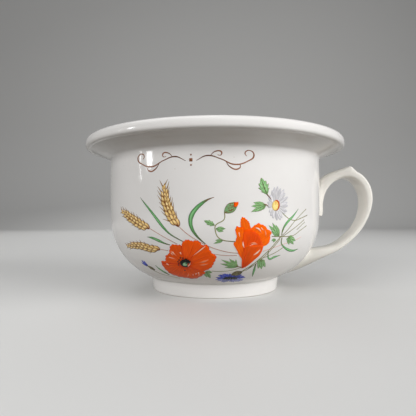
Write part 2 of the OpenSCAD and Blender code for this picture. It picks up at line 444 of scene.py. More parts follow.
def on_wall(off, up):
    z = tail_height + up * (loop_top - tail_height)
    return swell[0] + math.sqrt(swell_radius ** 2 - (z - swell[1]) ** 2) + off * strap_thickness, z


def on_loop(out, up):
    return wall_radius + out * loop_out, loop_low + up * (loop_top - loop_low)


tip_turn = tip_gap / belly_radius - math.acos((foot_top_radius - belly[0]) / belly_radius)


def on_belly(off, back):
    return tuple(belly + (belly_radius + off * strap_thickness) * polar(tip_turn + math.radians(back)))


# Each row: the centre's distance from the axis and height, then the shares of thickness and
# width there, and the power of the rounded section
strap_rows = np.array([
    (*on_wall(0.2, 0), 0.95, 0.74, 2), (*on_wall(0.24, 0.07), 1.02, 0.82, 2),
    (*on_wall(0.11, 0.25), 1.1, 0.92, 2), (*on_wall(0.22, 0.55), 1.25, 1, 2.4),
    (*on_loop(0.17, 0.9), 1.2, 1, 3), (*on_loop(0.37, 0.97), 1, 1, 3.6),
    (*on_loop(0.58, 1), 1, 1, 3.6), (*on_loop(0.79, 0.95), 1, 1, 3.6),
    (*on_loop(0.94, 0.83), 1, 1, 3.6), (*on_loop(1, 0.67), 0.92, 1, 3.6),
    (*on_loop(0.95, 0.48), 0.64, 0.96, 3.6), (*on_loop(0.81, 0.3), 0.58, 0.92, 3.6),
    (*on_loop(0.59, 0.16), 0.66, 0.92, 3.6), (*on_loop(0.35, 0.05), 0.7, 0.94, 3.2),
    (*on_loop(0.08, 0), 1.14, 0.98, 2.7), (*on_belly(0.51, 23.4), 1.67, 1, 2.2),
    (*on_belly(0, 14.4), 1.77, 0.95, 2), (*on_belly(-0.18, 6), 1.6, 0.82, 2),
    (*on_belly(-0.05, 0), 1, 0.6, 2)])
strap_end = len(strap_rows) - 1
# The row at the loop's outer side, past which there is no spur
loop_side = 9


def strap_place(u):
    """The strap's row and heading at a place along it, on a cubic B-spline that follows the rows."""
    padded = np.vstack([2 * strap_rows[0] - strap_rows[1], strap_rows, 2 * strap_rows[-1] - strap_rows[-2]])
    i = min(int(u), strap_end - 1)
    t = u - i
    near = padded[i:i + 4]
    weights = np.array([
        (1 - t) ** 3, 3 * t ** 3 - 6 * t ** 2 + 4, -3 * t ** 3 + 3 * t ** 2 + 3 * t + 1, t ** 3]) / 6
    slopes = np.array([-(1 - t) ** 2, 3 * t ** 2 - 4 * t, -3 * t ** 2 + 2 * t + 1, t ** 2]) / 2
    heading = (slopes @ near)[:2]
    return weights @ near, heading / np.linalg.norm(heading)


def spur(u, x):
    d = x - wall_radius - spur_out
    if u > loop_side:
        return 0.0
    if d < 0:
        return spur_height * max(0.0, 1 + d / spur_rise) ** rise_power
    return spur_height * max(0.0, 1 - d / spur_fall) ** fall_power


def clearance(point):
    """Distance of a point from the bowl's outside, and the bowl's direction there."""
    r = math.hypot(point[0], point[1])
    q = np.array([r, point[2]])
    low = q[1] < belly[1] + (q[0] - belly[0]) * math.tan(belly_end)
    centre, radius = (belly, belly_radius) if low else (swell, swell_radius)
    away = q - centre
    far = np.linalg.norm(away)
    away = away / far
    return far - radius, np.array([away[0] * point[0] / r, away[0] * point[1] / r, away[1]])


def flank(point, s):
    """Draws a flank out sideways where it comes close to the bowl, and keeps its clearance."""
    gap = clearance(point)[0]
    near = min(max(gap, 0.0), flank_round)
    out = flank_round - math.sqrt(flank_round ** 2 - (flank_round - near) ** 2)
    moved = point + np.array([0.0, math.copysign(s * s * out, s), 0.0])
    new_gap, away = clearance(moved)
    return moved + (gap - new_gap) * away if gap < flank_round else moved


def strap_ring(u, shrink=0.0, shift=0.0):
    (x, z, thick, wide, power), heading = strap_place(u)
    centre = np.array([x, z]) + shift * heading
    ring = []
    for j in range(strap_sides):
        c, s = polar(2 * math.pi * j / strap_sides)
        e = 2 / power
        half = thick * strap_thickness / 2 - shrink + (spur(u, x) if c < 0 else 0.0)
        off = half * math.copysign(abs(c) ** e, c)
        y = (wide * strap_width / 2 - shrink) * math.copysign(abs(s) ** e, s)
        ring.append(flank(np.array([centre[0] + heading[1] * off, y, centre[1] - heading[0] * off]), s))
    return ring


def rounded_end(u, side):
    turns = [math.pi / 2 * i / end_steps for i in range(1, end_steps + 1)]
    return [strap_ring(u, end_round * (1 - math.cos(a)), side * end_round * math.sin(a)) for a in turns]


def strap_mesh():
    places = np.linspace(0, strap_end, round(strap_end / ring_step) + 1)
    rings = [*reversed(rounded_end(0, -1)), *(strap_ring(u) for u in places), *rounded_end(strap_end, 1)]
    ends = [np.mean(rings[0], axis=0), np.mean(rings[-1], axis=0)]
    points = [p * MM for ring in rings for p in ring] + [p * MM for p in ends]
    n = strap_sides
    faces = []
    for i in range(len(rings) - 1):
        here, there = i * n, (i + 1) * n
        faces += [(here + j, here + (j + 1) % n, there + (j + 1) % n, there + j) for j in range(n)]
    last = (len(rings) - 1) * n
    faces += [(len(points) - 2, (j + 1) % n, j) for j in range(n)]
    faces += [(len(points) - 1, last + j, last + (j + 1) % n) for j in range(n)]
    mesh = bpy.data.meshes.new("strap_handle")
    mesh.from_pydata([tuple(p) for p in points], [], faces)
    mesh.shade_smooth()
    face_out(mesh)
    return mesh


handle_glaze = glaze_material("handle_glaze", *handle_lit_tones)
handle = bpy.data.objects.new("strap_handle", strap_mesh())
handle.data.materials.append(handle_glaze)
show(handle)
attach(handle, "root")
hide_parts("handle", "upper_handle_slip", "lower_handle_slip")

# The transfer print: a spray of field flowers in enamel, printed on a sheet, slid on to the glazed
# side and fired. Its first colour is the wheat: three ripe ears, each of overlapping grains with
# short awns. All motifs are drawn flat, in millimetres across and up from the sheet's own line.
# Lengths are in millimetres, leans in radians, and the rest are shares.
film_thickness = 0.12
sheet_line = 1.7
least_bulge = 0.05
ear_taper = 0.32
grain_lean = 0.28
awn_lean = 0.5
awn_width = 0.9
grains_in_ear = 25
enamel_shine = 0.16
least_width = 0.1


def ink(red, green, blue):
    """A colour from its printed values of 0 to 255."""
    shares = [value / 255 for value in (red, green, blue)]
    return (*(s / 12.92 if s < 0.04 else ((s + 0.055) / 1.055) ** 2.4 for s in shares), 1.0)


def sheet_on_bowl():
    """Lays a flat drawing on the bowl: x goes round it, y goes up its section, and z stands off it.

    The drawing's line y = 0 lies a little above the place where the belly begins.
    """
    tree, given = node_group(
        "Sheet on the bowl", "GeometryNodeTree", [("Geometry", "Geometry")], [("Geometry", "Geometry")])
    calc = maths(tree)
    across, drawn_up, lift = split_xyz(tree, put(tree, "GeometryNodeInputPosition").outputs[0])
    up = calc("ADD", drawn_up, sheet_line * MM)
    on_the_wall = calc("GREATER_THAN", up, 0.0)

    def either(low, high):
        return calc("MULTIPLY_ADD", on_the_wall, (high - low) * MM, low * MM)

    radius = either(belly_radius, swell_radius)
    reach = calc("ADD", radius, lift)
    turn = calc("ADD", calc("DIVIDE", up, radius), belly_end)
    out = calc("MULTIPLY_ADD", reach, calc("COSINE", turn), either(belly[0], swell[0]))
    height = calc("MULTIPLY_ADD", reach, calc("SINE", turn), either(belly[1], swell[1]))
    round_turn = calc("DIVIDE", across, out)
    aside = calc("MULTIPLY", out, calc("SINE", round_turn))
    toward = calc("MULTIPLY", calc("MULTIPLY", calc("COSINE", round_turn), out), -1.0)
    laid = set_place(tree, given["Geometry"], Position=join_xyz(tree, aside, toward, height))
    put(tree, "NodeGroupOutput", {"Geometry": laid})
    return tree


bowl_sheet = sheet_on_bowl()


def close_print(tree, geometry, finish):
    """Ends a tree that draws a motif: laid on the bowl, then dressed."""
    real = put(tree, "GeometryNodeRealizeInstances", {"Geometry": geometry})
    laid = put(tree, "GeometryNodeGroup", {"Geometry": real.outputs[0]}, node_tree=bowl_sheet)
    smooth = put(tree, "GeometryNodeSetShadeSmooth", {"Geometry": laid.outputs[0]})
    close_tree(tree, smooth.outputs[0], finish)


def keep(tree, geometry, name, value, kind="FLOAT", domain="POINT"):
    """Stores a value on a geometry, for its finish to read."""
    return put(tree, "GeometryNodeStoreNamedAttribute", {"Geometry": geometry, "Name": name, "Value": value},
               data_type=kind, domain=domain).outputs[0]


def blade_group():
    """A flat blade, one unit long and wide: Belly moves its widest place, Fullness blunts its ends."""
    tree, given = node_group(
        "Blade", "GeometryNodeTree", [("Belly", "Float", 1.0), ("Fullness", "Float", 1.0)],
        [("Blade", "Geometry")])
    calc = maths(tree)
    grid = put(tree, "GeometryNodeMeshGrid", {
        "Size X": 1.0, "Size Y": 1.0, "Vertices X": 9, "Vertices Y": 4})
    x, side, _ = split_xyz(tree, put(tree, "GeometryNodeInputPosition").outputs[0])
    along = calc("ADD", x, 0.5)
    pair = join_xyz(tree, calc("ADD", side, 0.5), along)
    mapped = keep(tree, grid.outputs["Mesh"], "UVMap", pair, "FLOAT2", "CORNER")
    bulge = calc("SINE", calc("MULTIPLY", calc("POWER", along, given["Belly"]), math.pi))
    width = calc("POWER", calc("MAXIMUM", bulge, least_bulge), given["Fullness"])
    drawn = join_xyz(tree, along, calc("MULTIPLY", side, width))
    put(tree, "NodeGroupOutput", {"Blade": set_place(tree, mapped, Position=drawn)})
    return tree


blade_shape = blade_group()


def blades_on(tree, points, angle, length, width, belly_place, fullness, chosen=True):
    blade = put(tree, "GeometryNodeGroup", {"Belly": belly_place, "Fullness": fullness},
                node_tree=blade_shape)
    return put(tree, "GeometryNodeInstanceOnPoints", {
        "Points": points, "Selection": chosen, "Instance": blade.outputs[0],
        "Rotation": join_xyz(tree, z=angle), "Scale": join_xyz(tree, length, width, 1.0)}).outputs[0]


def chance(tree, low, high, seed):
    """A random number for each point."""
    made = put(tree, "FunctionNodeRandomValue", {}, data_type="FLOAT")
    sockets = [s for s in made.inputs if s.enabled]
    for socket, value in zip(sockets[:2], (low, high)):
        socket.default_value = value
    made.inputs["Seed"].default_value = seed
    return next(s for s in made.outputs if s.enabled)


def wheat_tree():
    """An ear of wheat along a curve: grains in three columns, and awns on the outer ones."""
    tree, given = shape_tree("Ear of wheat", [
        ("Grains", "Int", 30), ("Width", "Float", 8.0 * MM), ("Grain length", "Float", 7.0 * MM),
        ("Grain width", "Float", 3.1 * MM), ("Awn length", "Float", 7.5 * MM)])
    calc = maths(tree)
    spots = put(tree, "GeometryNodeCurveToPoints", {"Curve": given["Geometry"], "Count": given["Grains"]},
                mode="COUNT").outputs
    tx, ty, _ = split_xyz(tree, spots["Tangent"])
    index = put(tree, "GeometryNodeInputIndex").outputs[0]
    along = calc("DIVIDE", index, given["Grains"])
    column = calc("SUBTRACT", calc("MODULO", index, 3.0), 1.0)
    outer = calc("ABSOLUTE", column)
    taper = calc("SUBTRACT", 1.0, calc("MULTIPLY", calc("MULTIPLY", along, along), ear_taper))
    root = calc("MINIMUM", calc("MULTIPLY_ADD", along, 4.0, 0.4), 1.0)
    tip = calc("MINIMUM", calc("MULTIPLY_ADD", calc("SUBTRACT", 1.0, along), 4.5, 0.05), 1.0)
    half = calc("MULTIPLY", given["Width"], 0.5)
    room = calc("SUBTRACT", half, calc("MULTIPLY", given["Grain width"], 0.75))
    drawn_in = calc("MULTIPLY", calc("MULTIPLY", room, taper), calc("MULTIPLY", root, tip))
    aside = calc("MULTIPLY", drawn_in, column)
    lift = calc("MULTIPLY_ADD", outer, -0.04 * MM, calc("MULTIPLY_ADD", along, -0.05 * MM, 0.17 * MM))
    left = calc("MULTIPLY", calc("MULTIPLY", ty, aside), -1.0)
    shift = join_xyz(tree, left, calc("MULTIPLY", tx, aside), lift)
    placed = set_place(tree, spots["Points"], Offset=shift)
    toned = keep(tree, placed, "tone", chance(tree, 0.45, 1.0, seed=3))
    heading = calc("ARCTAN2", ty, tx)
    lean = calc("MULTIPLY", calc("MULTIPLY", column, tip), grain_lean)
    angle = calc("ADD", heading, calc("ADD", lean, chance(tree, -0.1, 0.1, seed=5)))
    grain_length = calc("MULTIPLY", given["Grain length"], taper)
    grain_length = calc("MULTIPLY", grain_length, chance(tree, 0.9, 1.1, seed=7))
    grain_width = calc("MULTIPLY", given["Grain width"], taper)
    grains = blades_on(tree, toned, angle, grain_length, grain_width, belly_place=0.85, fullness=0.8)
    spread = calc("ADD", calc("MULTIPLY_ADD", column, awn_lean, -0.08), chance(tree, -0.15, 0.15, seed=9))
    reach = calc("MULTIPLY", grain_length, 0.7)
    grain_tip = join_xyz(tree, calc("MULTIPLY", calc("COSINE", angle), reach),
                         calc("MULTIPLY", calc("SINE", angle), reach), -0.02 * MM)
    tips = set_place(tree, placed, Offset=grain_tip)
    dull = keep(tree, tips, "tone", -0.6)
    awn_length = calc("MULTIPLY", given["Awn length"], chance(tree, 0.6, 1.1, seed=11))
    bearded = calc("GREATER_THAN", calc("ADD", outer, along), 0.93)
    awns = blades_on(tree, dull, calc("ADD", heading, spread), awn_length, awn_width * MM,
                     belly_place=0.5, fullness=1.0, chosen=bearded)
    joined = put(tree, "GeometryNodeJoinGeometry")
    for blades in (awns, grains):
        tree.links.new(blades, joined.inputs[0])
    close_print(tree, joined.outputs[0], given["Finish"])
    return tree


def enamel_group():
    """One wash of enamel: deep at the heart, drawn out in streaks, with a line of colour at its edge."""
    tree, given = node_group("Enamel wash", "ShaderNodeTree", [
        ("Heart", "Color", (0, 0, 0, 1)), ("Body", "Color", (0.5, 0.5, 0.5, 1)),
        ("Edge", "Color", (0, 0, 0, 1)), ("Light", "Color", (1, 1, 1, 1)),
        ("Heart reach", "Float", 0.4), ("Edge width", "Float", 0.1),
        ("Streaks", "Float", 20.0), ("Light share", "Float", 0.3)],
        [("Color", "Color"), ("Roughness", "Float")])
    calc = maths(tree)
    u, v, _ = split_xyz(tree, put(tree, "ShaderNodeUVMap", {}, uv_map="UVMap").outputs[0])
    tone = put(tree, "ShaderNodeAttribute", {}, attribute_name="tone").outputs["Fac"]
    strand = join_xyz(tree, calc("MULTIPLY", u, given["Streaks"]), calc("MULTIPLY", v, 2.5),
                      calc("MULTIPLY", tone, 9.0))
    streak = noise(tree, strand, scale=1.0, detail=3.0)
    from_heart = put(tree, "ShaderNodeMapRange", {"Value": v, "From Max": given["Heart reach"]},
                     interpolation_type="SMOOTHSTEP").outputs[0]
    body = blend(tree, from_heart, given["Heart"], given["Body"])
    depth = calc("MULTIPLY_ADD", streak, 0.5, calc("MULTIPLY_ADD", tone, 0.38, 0.38))
    shaded = put(tree, "ShaderNodeVectorMath", {0: body, "Scale": depth}, operation="SCALE").outputs[0]
    crest = put(tree, "ShaderNodeMapRange", {"Value": streak, "From Min": 0.52, "From Max": 0.72}).outputs[0]
    middle = calc("SINE", calc("MULTIPLY", v, math.pi))
    light = calc("MULTIPLY", calc("MULTIPLY", crest, middle), given["Light share"])
    lit = blend(tree, light, shaded, given["Light"])
    side = calc("MINIMUM", u, calc("SUBTRACT", 1.0, u))
    inset = calc("MINIMUM", side, calc("SUBTRACT", 1.0, v))
    rim = put(tree, "ShaderNodeMapRange", {
        "Value": inset, "From Max": given["Edge width"], "To Min": 1.0, "To Max": 0.0},
        interpolation_type="SMOOTHSTEP").outputs[0]
    lined = blend(tree, rim, lit, given["Edge"])
    rough = calc("MULTIPLY_ADD", streak, 0.14, 0.08)
    put(tree, "NodeGroupOutput", {"Color": lined, "Roughness": rough})
    return tree


enamel_wash = enamel_group()


def enamel(name, heart, body, edge, light, heart_reach=0.4, edge_width=0.1, streaks=20.0, light_share=0.3):
    """A finish of one wash, from its four printed colours and how far they reach."""
    material, tree, shader = new_material(name)
    wash = put(tree, "ShaderNodeGroup", {
        "Heart": ink(*heart), "Body": ink(*body), "Edge": ink(*edge), "Light": ink(*light),
        "Heart reach": heart_reach, "Edge width": edge_width, "Streaks": streaks,
        "Light share": light_share}, node_tree=enamel_wash).outputs
    feed(tree, shader, {
        "Base Color": wash["Color"], "Roughness": wash["Roughness"], "Specular IOR Level": enamel_shine})
    return material


def curves(name, lines, lift):
    """A carrier of smooth curves, from points in millimetres and one width or a width at each point."""
    data = bpy.data.curves.new(name, "CURVE")
    data.dimensions = "3D"
    data.twist_mode = "Z_UP"
    for points, widths in lines:
        if not isinstance(widths, (list, tuple)):
            widths = [widths] * len(points)
        spline = data.splines.new("BEZIER")
        spline.bezier_points.add(len(points) - 1)
        for knot, (x, y), width in zip(spline.bezier_points, points, widths):
            knot.co = (x * MM, y * MM, lift * MM)
            knot.handle_left_type = "AUTO"
            knot.handle_right_type = "AUTO"
            knot.radius = max(width, least_width) / 2 * MM
    return bpy.data.objects.new(name, data)


def printed(name, carrier, tree, values):
    """A motif laid on the bowl, as a closed film of enamel that sinks a little into the glaze."""
    piece = shaped(name, carrier, tree, values)
    outward = sum(face.normal.dot((face.center.x, face.center.y, 0)) for face in piece.data.polygons)
    if outward < 0:
        piece.data.flip_normals()
    film = piece.modifiers.new("film", "SOLIDIFY")
    film.thickness = film_thickness * MM
    film.offset = -1.0
    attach(piece, "root")
    return piece


ear_of_wheat = wheat_tree()
wheat_enamel = enamel("wheat_enamel", (146, 78, 34), (250, 214, 138), (110, 52, 18), (255, 240, 196),
                      heart_reach=0.5, edge_width=0.34, streaks=3.0, light_share=0.9)
# Each ear: its name, its axis from root to tip, its width and the length of its awns
wheat_ears = [
    ("wheat_ear_tall", [(-28.5, -5), (-32, -0.7), (-35.1, 4.5), (-38.7, 13.2), (-40.2, 22)], 7.9, 7.5),
    ("wheat_ear_left", [(-54, -6.7), (-62, -4), (-72, -0.1), (-82, 4.3), (-85.5, 5.5)], 7.7, 5.5),
    ("wheat_ear_low", [(-45, -23.5), (-52, -23.2), (-62, -21.8), (-72, -21.4), (-81, -22.4)], 6.7, 4.5)]
for name, axis, width, awn in wheat_ears:
    printed(name, curves(name, [(axis, 1.0)], 0.0), ear_of_wheat, {
        "Grains": grains_in_ear, "Width": width * MM, "Awn length": awn * MM, "Finish": wheat_enamel})

# Stalks and blades: single brush strokes of the print, drawn from the root to the tip, red-brown
# for the straw and behind the grains, green for the blades of grass, olive and pale pink for the
# flower stalks, and dull brown where leaves spring from their stalks and at the tall blade's tip.


def stroke_tree():
    """Flat strokes along curves, as wide as the curves' radius says."""
    tree, given = shape_tree("Brush strokes", [("Spacing", "Float", 0.8 * MM)])
    fine = put(tree, "GeometryNodeResampleCurve", {"Curve": given["Geometry"], "Length": given["Spacing"]},
               mode="LENGTH").outputs[0]
    along = put(tree, "GeometryNodeSplineParameter").outputs["Factor"]
    marked = keep(tree, fine, "along", along)
    line = put(tree, "GeometryNodeCurvePrimitiveLine", {"Start": (-1, 0, 0), "End": (1, 0, 0)}).outputs[0]
    flat = put(tree, "GeometryNodeResampleCurve", {"Curve": line, "Count": 4}, mode="COUNT").outputs[0]
    sided = keep(tree, flat, "side", along)
    radius = put(tree, "GeometryNodeInputRadius").outputs[0]
    ribbon = put(tree, "GeometryNodeCurveToMesh", {
        "Curve": marked, "Profile Curve": sided, "Scale": radius}).outputs[0]
    side_of = put(tree, "GeometryNodeInputNamedAttribute", {"Name": "side"}, data_type="FLOAT").outputs[0]
    along_of = put(tree, "GeometryNodeInputNamedAttribute", {"Name": "along"}, data_type="FLOAT").outputs[0]
    mapped = keep(tree, ribbon, "UVMap", join_xyz(tree, side_of, along_of), "FLOAT2", "CORNER")
    toned = keep(tree, mapped, "tone", 0.8)
    close_print(tree, toned, given["Finish"])
    return tree


brush_strokes = stroke_tree()


def strokes(name, lines, finish, lift=0.06):
    """Brush strokes in one colour, each given by its points and its one width or many."""
    return printed(name, curves(name, lines, lift), brush_strokes, {"Finish": finish})


husk_enamel = enamel("husk_enamel", (120, 62, 24), (146, 86, 36), (150, 92, 44), (190, 128, 66))
strokes("wheat_husks", [
    (axis, [1.4, width * 0.7, width * 0.74, width * 0.62, 1.0]) for _, axis, width, _ in wheat_ears],
    husk_enamel, lift=0.03)
straw_enamel = enamel("straw_enamel", (160, 108, 88), (186, 138, 118), (196, 158, 142), (214, 180, 164))
strokes("straw_stalks", [
    ([(16, -26), (10, -25.3), (0, -22.5), (-10, -18), (-16, -14.5), (-22, -10.5), (-28.5, -5)], 0.55),
    ([(-30, -18.5), (-36, -15.5), (-44, -11.5), (-54, -6.5)], 0.5),
    ([(-38, -24.2), (-45, -23.3)], 0.5),
    ([(15, -28), (5, -27.7), (-2, -26.5)], 0.5)], straw_enamel)

grass_enamel = enamel("grass_enamel", (96, 86, 62), (98, 160, 98), (80, 100, 66), (150, 208, 146),
                      heart_reach=0.42, edge_width=0.2, streaks=3.0, light_share=0.75)
strokes("grass_blades", [
    ([(-25, -16.5), (-30, -14), (-36, -10.5), (-41, -6), (-46, -0.5), (-52, 6), (-58, 12), (-63.5, 17.5)],
     [0.6, 0.8, 1.1, 1.9, 2.3, 1.8, 1.2, 0.1]),
    ([(-8.5, -18), (-12, -15), (-15.8, -10.8), (-18.6, -6), (-19.6, -1), (-18.8, 3), (-15.5, 8), (-11, 12),
      (-6.5, 14.8), (-2, 16.5)],
     [0.6, 1.1, 1.8, 2.5, 3.2, 3.6, 3.1, 2.4, 1.2, 0.3]),
    ([(-36, -19.3), (-41, -18), (-46, -16), (-52, -14), (-57, -13.3)], [0.6, 1.2, 2.2, 1.8, 0.1]),
    ([(-39.6, -51.4), (-43, -48.6), (-48, -44.4), (-52, -39.6)], [0.8, 1.8, 1.6, 0.2]),
    ([(31, -36), (30.4, -39.5), (30, -44), (29.6, -48.5), (29.5, -53.6)], [0.5, 1.2, 2.0, 1.5, 0.3])],
    grass_enamel, lift=0.09)
young_enamel = enamel("young_enamel", (122, 114, 74), (108, 178, 112), (100, 128, 80), (164, 216, 152),
                      heart_reach=0.4, edge_width=0.2, streaks=3.0, light_share=0.75)
strokes("young_blades", [
    ([(52.3, -12.3), (53.2, -8.3), (56.6, -3.4), (60, -0.6), (63.6, 1.9), (70.6, 8)],
     [0.6, 1.3, 2, 2, 1.6, 0.2]),
    ([(52.8, -14), (52.5, -18.5), (55.5, -22), (61, -25), (67, -26.3), (74, -25.3)],
     [0.8, 1, 1.5, 2.4, 2, 0.4]),
    ([(40.8, -25), (40.8, -29), (42.5, -32.5), (47, -31), (53, -29.6)], [0.6, 0.9, 1.7, 2, 0.3])],
    young_enamel, lift=0.09)

stalk_enamel = enamel("stalk_enamel", (110, 108, 66), (140, 142, 88), (132, 124, 82), (180, 186, 130))
strokes("flower_stalks", [
    ([(84, 3), (74, 0.6), (66, -1), (60, 0.2), (54, 3.8), (50, 7.5)], 0.6),
    ([(50, -14.5), (57, -9.5), (65, -2.5), (74, 3.5), (82, 8)], 0.5),
    ([(53, -13.5), (62, -9), (71, -4.5), (79, -0.5)], 0.5),
    ([(58, -13.5), (65, -13), (74, -9), (83, -5.5)], 0.5),
    ([(69, -8.5), (75, -5), (80, -2.5)], 0.45),
    ([(20, -44.5), (28, -37.5), (36, -29.5), (42, -23.5), (48, -17), (52, -13.2)], 0.65),
    ([(22.6, -44), (30.8, -36.6), (38.4, -29), (44.5, -22.6), (51, -15.4)], 0.5),
    ([(25, -41.5), (33, -33), (41, -29.5), (48, -26.5), (55, -22.5)], 0.5),
    ([(43, -13), (50, -13.3), (58, -13.5)], 0.6),
    ([(-4, -43.8), (4, -44.2), (12, -42.8), (19.5, -39.8)], 0.6),
    ([(19, -45.5), (22, -43.5)], 0.9),
    ([(-56, -47), (-48, -51), (-40, -53.5), (-30, -56)], 0.5),
    ([(13.5, -16.4), (9, -16), (4.5, -15.2), (0.5, -12.5), (-1.2, -8), (-1.3, -4.5), (0, -3), (4.5, -0.5),
      (5.5, 1), (5.6, 5.2)], 0.7)], stalk_enamel)
root_enamel = enamel("root_enamel", (104, 84, 72), (124, 96, 72), (140, 112, 84), (160, 140, 104))
strokes("leaf_roots", [
    ([(38.4, 18.9), (39.2, 18), (40.8, 16.5), (42.4, 14.9)], [1.0, 0.9, 0.7, 0.3]),
    ([(35.6, 11.3), (37.2, 11.2), (38.4, 10.6), (39.8, 9.8)], [0.4, 0.8, 0.8, 0.3]),
    ([(15.2, -38.5), (17, -39.2), (19.8, -39.6)], [0.8, 0.7, 0.5]),
    ([(-10.6, 12.3), (-6.5, 14.8), (-2, 16.5)], [0.3, 1.0, 0.4])], root_enamel, lift=0.17)

pink_enamel = enamel("pink_enamel", (222, 178, 168), (232, 196, 186), (236, 208, 200), (240, 220, 212))
strokes("pale_stalk", [([(36, -25), (46, -22), (58, -19), (68, -17), (76, -14.5)], 0.6)],
        pink_enamel, lift=0.05)

# Leaves, buds and petals: areas of the print laid in one wash each, with a drawn edge. The green
# leaves are toothed and veined, some in one blade and most cut into lobes that overlap.
leaf_lift = 0.07
lobe_step = 0.015
leaf_columns = 7
leaf_belly = 0.8
leaf_least = 0.03
rows_per_tooth = 12
tooth_lean = 0.4
petal_waves = 13
petal_swell = 23
span_steps = 12
midrib_half = 0.06
vein_slant = 0.5
vein_crest = 0.86
vein_strength = 0.6


def eased(points, count):
    """Evenly spaced points on a smooth line through the given ones."""
    knots = np.array(points, float)
    ends = np.vstack([2 * knots[0] - knots[1], knots, 2 * knots[-1] - knots[-2]])
    run = []
    for i in range(len(knots) - 1):
        a, b, c, d = ends[i:i + 4]
        for t in np.linspace(0, 1, span_steps, endpoint=False):
            bend = (2 * a - 5 * b + 4 * c - d) * t ** 2 + (3 * b - a - 3 * c + d) * t ** 3
            run.append(b + 0.5 * ((c - a) * t + bend))
    run = np.array(run + [knots[-1]])
    far = np.concatenate([[0], np.cumsum(np.linalg.norm(np.diff(run, axis=0), axis=1))])
    even = np.linspace(0, far[-1], count)
    return np.column_stack([np.interp(even, far, run[:, k]) for k in range(2)])


def raised(grid, lift):
    return np.dstack([grid, np.full(grid.shape[:2], lift)])


def petal(inner, outer, lift, rows=14, columns=48, ruffle=0.6):
    """A petal between its root and its edge, which waves a little."""
    root = eased(inner, columns)
    edge = eased(outer, columns)
    fine = np.sin(np.linspace(0, petal_waves * math.pi, columns))
    wave = fine * np.sin(np.linspace(0, petal_swell, columns))
    away = edge - root
    edge = edge + away / np.linalg.norm(away, axis=1)[:, None] * (ruffle * wave)[:, None]
    return raised(np.array([root + (edge - root) * t for t in np.linspace(0, 1, rows)]), lift)


def leaf(base, tip, width, teeth=3, depth=0.4, bend=0.0, lift=leaf_lift, point=0.75):
    """A leaf from its stalk to its tip, with forward teeth on both edges."""
    base, tip = np.array(base, float), np.array(tip, float)
    run = tip - base
    across = np.array([-run[1], run[0]]) / np.linalg.norm(run)
    rows = []
    for v in np.linspace(0, 1, rows_per_tooth * max(teeth, 2) + 1):
        tooth = (v * teeth) % 1.0 if teeth else 1.0
        bulge = max(math.sin(math.pi * v ** leaf_belly), leaf_least) ** point
        half = width / 2 * bulge * (1 - depth + depth * tooth)
        spine = base + run * v + across * bend * 4 * v * (1 - v)
        lean = run / np.linalg.norm(run) * half * tooth_lean * (1 - v)
        rows.append([spine + across * half * s + lean * abs(s) for s in np.linspace(-1, 1, leaf_columns)])
    return raised(np.array(rows), lift)


def lobed(base, tips, width, tone):
    """A leaf cut deeply into pointed lobes, each drawn from the stalk, one over the other."""
    return [(leaf(base, tip, width, teeth=0, depth=0.0, lift=leaf_lift + lobe_step * i, point=1.0), tone)
            for i, tip in enumerate(tips)]


def oval(centre, half_long, half_wide, turn, lift, rows=5, columns=33):
    """An oval area, shaded from its middle to its edge."""
    along, across = polar(math.radians(turn)), polar(math.radians(turn) + math.pi / 2)
    angles = np.linspace(0, 2 * math.pi, columns)
    edge = [along * half_long * math.cos(a) + across * half_wide * math.sin(a) for a in angles]
    return raised(np.array([np.array(centre) + np.array(edge) * t for t in np.linspace(0, 1, rows)]), lift)


def flat_drawing(name, drawn):
    """One flat mesh of the drawn areas, each with its own tone, u across it and v from root to edge."""
    points, faces, pairs, tones = [], [], [], []
    for grid, tone in drawn:
        first, second = grid[1:, 1:] - grid[:-1, :-1], grid[1:, :-1] - grid[:-1, 1:]
        if (first[..., 0] * second[..., 1] - first[..., 1] * second[..., 0]).sum() < 0:
            grid = grid[:, ::-1]
        rows, columns = grid.shape[:2]
        start = len(points)
        points += [tuple(p * MM) for p in grid.reshape(-1, 3)]
        tones += [tone] * (rows * columns)
        for i in range(rows - 1):
            for j in range(columns - 1):
                corners = [(i, j), (i, j + 1), (i + 1, j + 1), (i + 1, j)]
                faces.append([start + r * columns + c for r, c in corners])
                pairs += [(c / (columns - 1), r / (rows - 1)) for r, c in corners]
    mesh = bpy.data.meshes.new(name)
    mesh.from_pydata(points, [], faces)
    layer = mesh.uv_layers.new(name="UVMap")
    layer.data.foreach_set("uv", np.array(pairs).ravel())
    mesh.attributes.new("tone", "FLOAT", "POINT").data.foreach_set("value", tones)
    return bpy.data.objects.new(name, mesh)


def area_tree():
    tree, given = shape_tree("Washed areas")
    merged = put(tree, "GeometryNodeMergeByDistance", {
        "Geometry": given["Geometry"], "Distance": weld_gap * MM})
    close_print(tree, merged.outputs[0], given["Finish"])
    return tree


washed_areas = area_tree()


def areas(name, drawn, finish):
    """Areas in one wash, each given with its tone, from dull at 0 to full at 1."""
    return printed(name, flat_drawing(name, drawn), washed_areas, {"Finish": finish})


def veined(material, vein_color, veins):
    """Draws a midrib and slanting side veins over a leaf's wash."""
    tree = material.node_tree
    calc = maths(tree)
    u, v, _ = split_xyz(tree, put(tree, "ShaderNodeUVMap", {}, uv_map="UVMap").outputs[0])
    off = calc("ABSOLUTE", calc("SUBTRACT", u, 0.5))
    midrib = calc("LESS_THAN", off, midrib_half)
    slant = calc("SUBTRACT", v, calc("MULTIPLY", off, vein_slant))
    wave = calc("SINE", calc("MULTIPLY", slant, veins * 2 * math.pi))
    side_vein = calc("MULTIPLY", calc("GREATER_THAN", wave, vein_crest), vein_strength)
    cover(material, calc("MAXIMUM", midrib, side_vein), ink(*vein_color))


